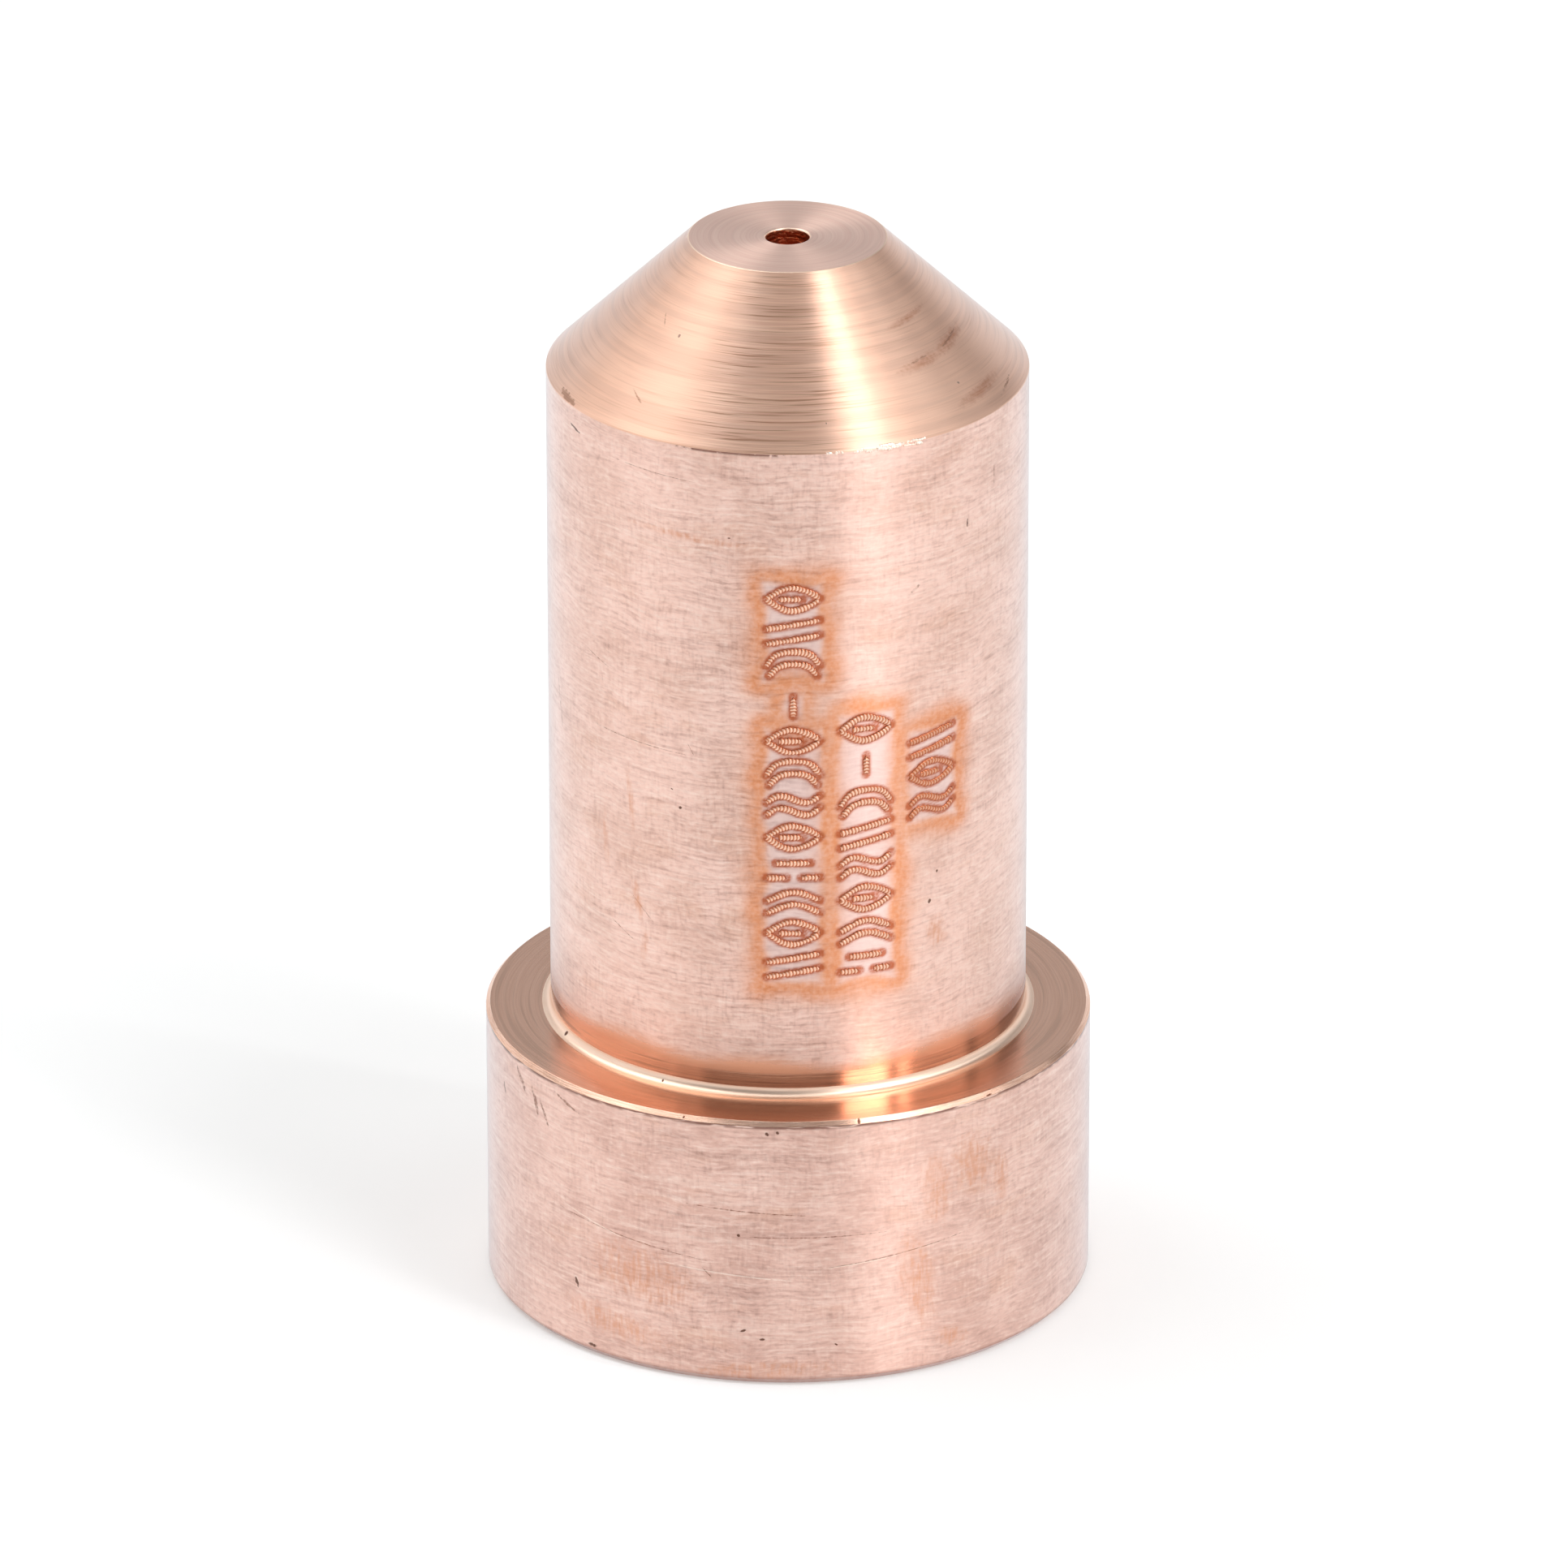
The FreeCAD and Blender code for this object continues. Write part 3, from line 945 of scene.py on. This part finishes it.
def bore_material():
    """The orifice and the chamber: darker copper, browned by the arc."""
    s = copper_shader("copper_bore")
    fine = s.lines(0.5, 12.0, 2.0, 0.6)
    colour = s.mix(s.step(fine, 0.38, 0.62), (0.66, 0.20, 0.09), (1.0, 0.52, 0.31))
    return s.finish(colour, 0.28, s.bump(s.math("ADD", fine, s.clouds(14.0, 1.0)), 0.02))


def bead_material():
    """Strokes of the marks: melted copper, cream on the ripples' crests and brown between them."""
    s = copper_shader("copper_marks")
    colour = s.mix(s.step(s.attribute("crest"), 0.25, 0.95), (0.52, 0.17, 0.08), (0.98, 0.64, 0.48))
    return s.finish(colour, 0.38, s.bump(s.clouds(20.0), 0.003))


def burr_material():
    """Torn flakes of fresh copper, paler than copper on their crests: a painted glint."""
    s = copper_shader("copper_burrs")
    # Painted glint: the crests turn paler than bare copper
    colour = s.mix(s.step(s.attribute("crest"), 0.1, 0.5), (0.80, 0.48, 0.34), (1.0, 0.85, 0.74))
    return s.finish(colour, 0.3, s.bump(s.clouds(16.0), 0.006))


def make_nozzle():
    """The whole turned surface, with fine grooves from the tool, and finer faces under the marks."""
    rows = section_rows()
    marked_rows = [nearest_row(rows, SKIN, level) for level in MARKED_LEVELS]
    windows = [Window(*MARKED_ANGLES, *marked_rows, SPLITS_ACROSS, SPLITS_ALONG)]
    below, faces, zones, angle, radius, level, slope = surface_mesh(rows, windows)
    chance = np.random.default_rng(GROOVES_SEED)
    grooved = [row[2] in GROOVED_ZONES and rows[index - 1][2] == row[2] for index, row in enumerate(rows)]
    grooves = np.where(grooved, chance.uniform(-GROOVE_DEPTH, GROOVE_DEPTH, len(rows)), 0)[below]
    radius = radius + grooves * slope[:, 1]
    level = level - grooves * slope[:, 0]
    places = np.stack([radius * np.sin(angle), -radius * np.cos(angle), level], axis=1) * MM
    mesh = bpy.data.meshes.new("nozzle_turned")
    mesh.from_pydata(places.tolist(), [], faces)
    heat = burnt(angle * BODY_RADIUS, np.where(radius > OUTER_SIDE, level, 0))
    for name, values in zip(("burnt_edge", "burnt_inside", "burnt_outline"), heat):
        point_attribute(mesh, name, values)
    mesh.materials.append(skin_material("copper_body", False))
    mesh.materials.append(skin_material("copper_flange", True))
    for make_material in (cone_material, tip_material, ledge_material, fresh_material, edge_material,
                          bore_material, rim_material):
        mesh.materials.append(make_material())
    mesh.polygons.foreach_set("material_index", zones)
    piece = smooth_object("nozzle_turned", mesh)
    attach(piece, "root")
    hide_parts(NODE)


# Camera at the photograph's viewing angle, in millimetres and radians
CAMERA_BACK = 303.583
CAMERA_HEIGHT = 143.135
CAMERA_PITCH = 0.4078
CAMERA_YAW = -0.0003
CAMERA_ROLL = -0.001
FOCAL_PIXELS = 17698.7
FRAME_PIXELS = 1932
SENSOR = 36
# The nearest place that the camera sees, in metres
CLIP_START = 0.01


def make_camera():
    """The camera at the photograph's place, turned by its pitch, yaw and roll."""
    data = bpy.data.cameras.new("camera")
    data.sensor_width = SENSOR
    data.lens = FOCAL_PIXELS / FRAME_PIXELS * SENSOR
    data.clip_start = CLIP_START
    level = math.cos(CAMERA_PITCH)
    ahead = Vector((math.sin(CAMERA_YAW) * level, math.cos(CAMERA_YAW) * level, -math.sin(CAMERA_PITCH)))
    right = ahead.cross(Vector((0, 0, 1))).normalized()
    up = right.cross(ahead)
    cosine, sine = math.cos(CAMERA_ROLL), math.sin(CAMERA_ROLL)
    rolled = right * cosine + up * sine
    upright = up * cosine - right * sine
    turn = Matrix((rolled, upright, -ahead)).transposed().to_4x4()
    camera = add_object("camera", data)
    camera.matrix_world = Matrix.Translation(Vector((0, -CAMERA_BACK, CAMERA_HEIGHT)) * MM) @ turn
    bpy.context.scene.camera = camera


# Lamps that face the part: degrees right of the front and above the floor, width and height in metres,
# and radiance
LAMPS = (
    ("key", 48, 50, 0.060, 0.24, 8.9),
    ("key_low", 38, 24, 0.14, 0.08, 5.4),
    ("key_slit", 57, 24, 0.034, 0.08, 3.6),
    ("key_fade", 77, 24, 0.25, 0.08, 0.7),
    ("key_edge", 67, 50, 0.012, 0.22, 16.0),
    ("right", 92, 48, 0.13, 0.16, 1.9),
    ("right_back", 115, 36, 0.12, 0.16, 0.8),
    ("left", -93, 56, 0.28, 0.24, 1.8),
    ("left_low", -99, 23, 0.70, 0.07, 1.15),
    ("left_fade", -50, 23, 0.11, 0.07, 0.5),
    ("left_front", -54, 66, 0.10, 0.14, 1.1),
    ("left_back", -134, 48, 0.16, 0.22, 1.7),
    ("back", 180, 33, 0.40, 0.18, 0.24),
    ("back_left", -168, 43, 0.07, 0.16, 1.3),
    ("back_right", 174, 45, 0.05, 0.16, 0.8),
    ("top", 0, 88, 0.16, 0.16, 1.7),
)
LAMP_DISTANCE = 0.40
LIGHT_TARGET = Vector((0, 0, 0.014))


def softbox(name, azimuth, elevation, width, height, radiance):
    """A flat lamp that faces the part."""
    data = bpy.data.lights.new(name, "AREA")
    data.shape = "RECTANGLE"
    data.size = width
    data.size_y = height
    data.energy = math.pi * width * height * radiance
    level = math.cos(elevation * DEGREE)
    side = Vector((math.sin(azimuth * DEGREE) * level, -math.cos(azimuth * DEGREE) * level,
                   math.sin(elevation * DEGREE)))
    facing = side.to_track_quat("Z", "Y").to_matrix().to_4x4()
    lamp = add_object(name, data)
    lamp.matrix_world = Matrix.Translation(LIGHT_TARGET + side * LAMP_DISTANCE) @ facing


# What metal reflects: how high each stop is, from 0 at floor level to 1 overhead, and its grey
REFLECTED_STOPS = ((0.0, 0.95), (0.15, 0.95), (0.24, 0.75), (0.36, 0.25), (1.0, 0.15))
BLUE_LEAN = 1.02
# What lights matte surfaces, and what the camera sees behind the part
FILL_COLOUR = (0.3, 0.3, 0.3, 1)
BACKDROP_COLOUR = (0.985, 0.985, 0.975, 1)


def make_world():
    """Soft studio surroundings: what metal reflects is pale low down and greyer overhead."""
    world = bpy.data.worlds.new("studio")
    world.use_nodes = True
    tree = world.node_tree
    tree.nodes.clear()
    output = tree.nodes.new("ShaderNodeOutputWorld")
    background = tree.nodes.new("ShaderNodeBackground")
    path = tree.nodes.new("ShaderNodeLightPath")
    direction = tree.nodes.new("ShaderNodeTexCoord")
    parts = tree.nodes.new("ShaderNodeSeparateXYZ")
    ramp = tree.nodes.new("ShaderNodeValToRGB")
    glossy = tree.nodes.new("ShaderNodeMix")
    camera = tree.nodes.new("ShaderNodeMix")
    for mix in (glossy, camera):
        mix.data_type = "RGBA"
    elements = ramp.color_ramp.elements
    while len(elements) < len(REFLECTED_STOPS):
        elements.new(0.5)
    for element, (position, grey) in zip(elements, REFLECTED_STOPS):
        element.position = position
        element.color = (grey, grey, grey * BLUE_LEAN, 1)
    links = tree.links
    links.new(direction.outputs["Generated"], parts.inputs[0])
    links.new(parts.outputs[2], ramp.inputs[0])
    links.new(path.outputs["Is Glossy Ray"], glossy.inputs[0])
    glossy.inputs[6].default_value = FILL_COLOUR
    links.new(ramp.outputs[0], glossy.inputs[7])
    links.new(path.outputs["Is Camera Ray"], camera.inputs[0])
    links.new(glossy.outputs[2], camera.inputs[6])
    camera.inputs[7].default_value = BACKDROP_COLOUR
    links.new(camera.outputs[2], background.inputs[0])
    links.new(background.outputs[0], output.inputs[0])
    bpy.context.scene.world = world


# The floor is matte, with a white glow mixed in for what metal reflects and for what the camera sees
FLOOR_COLOUR = (0.885, 0.90, 0.91)
GLOW_COLOUR = (1.0, 1.0, 0.98)
GLOW_REFLECTED = 1.25
GLOW_SEEN = 1.53
SHARE_REFLECTED = 0.5
SHARE_SEEN = 0.2
# Half of the floor's side, in metres
FLOOR_HALF = 3.0


def make_floor():
    """A plain pale floor that keeps the part's shadow."""
    s = Shader("floor")
    path = s.node("ShaderNodeLightPath").outputs
    matte = s.node("ShaderNodeBsdfDiffuse", {0: FLOOR_COLOUR})
    glow = s.blend(path["Is Camera Ray"], GLOW_REFLECTED, GLOW_SEEN)
    white = s.node("ShaderNodeEmission", {0: GLOW_COLOUR, 1: glow})
    seen = s.math("MAXIMUM", path["Is Camera Ray"], path["Is Glossy Ray"])
    share = s.math("MULTIPLY", seen, s.blend(path["Is Camera Ray"], SHARE_REFLECTED, SHARE_SEEN))
    mixed = s.node("ShaderNodeMixShader", {0: share, 1: matte.outputs[0], 2: white.outputs[0]})
    s.tree.links.new(mixed.outputs[0], s.output.inputs["Surface"])
    corners = [(x * FLOOR_HALF, y * FLOOR_HALF, 0) for x, y in ((-1, -1), (1, -1), (1, 1), (-1, 1))]
    mesh = bpy.data.meshes.new("floor")
    mesh.from_pydata(corners, [], [(0, 1, 2, 3)])
    mesh.materials.append(s.material)
    floor = add_object("floor", mesh)


make_nozzle()
make_marks()
make_burrs()
make_camera()
make_world()
make_floor()
for lamp in LAMPS:
    softbox(*lamp)
bpy.context.scene.view_settings.view_transform = "Standard"
